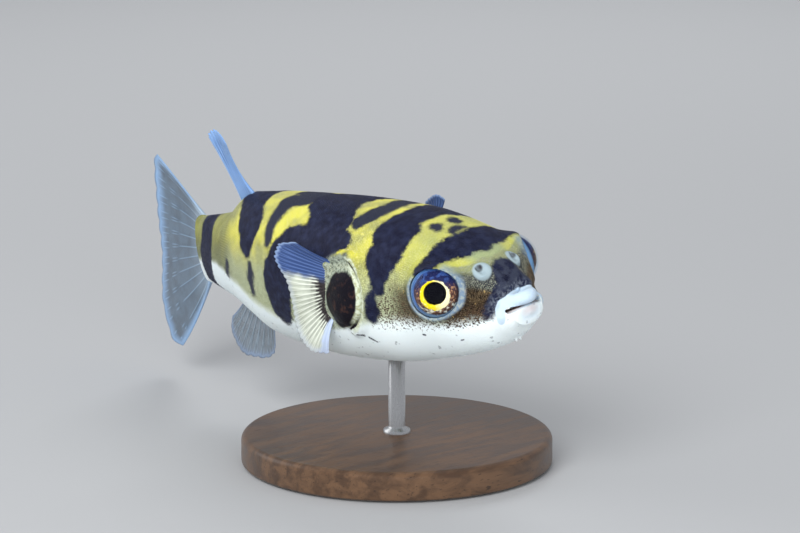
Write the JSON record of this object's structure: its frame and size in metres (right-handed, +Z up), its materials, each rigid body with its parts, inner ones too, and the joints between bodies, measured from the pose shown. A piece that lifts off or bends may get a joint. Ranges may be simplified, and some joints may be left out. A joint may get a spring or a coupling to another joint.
{
  "type": "freshwater pufferfish model",
  "caption": "Life-size still model of a banded freshwater pufferfish hovering on a small round display stand",
  "frame": {"origin": "centre of the stand base's underside, on the floor", "axes": "+X towards the fish's snout, +Y to its left, +Z up"},
  "size_m": [0.0929, 0.044, 0.0435],
  "materials": {
    "skin": "moist skin, navy bars over yellow and white",
    "lip": "pale bluish flesh",
    "fin": "translucent bluish membrane",
    "eye": "wet clear eye with a gold iris ring",
    "stand_wood": "dark satin wood",
    "stand_steel": "satin"
  },
  "bodies": {
    "root": {"head": "skin", "trunk": "skin", "tail_stalk": "skin", "upper_lip": "lip", "lower_lip": "lip", "caudal_fin": "fin", "dorsal_fin": "fin", "anal_fin": "fin", "eye_left": "eye", "nostril_left": "lip", "pectoral_fin_left": "fin", "eye_right": "eye", "nostril_right": "lip", "pectoral_fin_right": "fin", "stand_base": "stand_wood", "stand_rod": "stand_steel"}
  },
  "joints": []
}
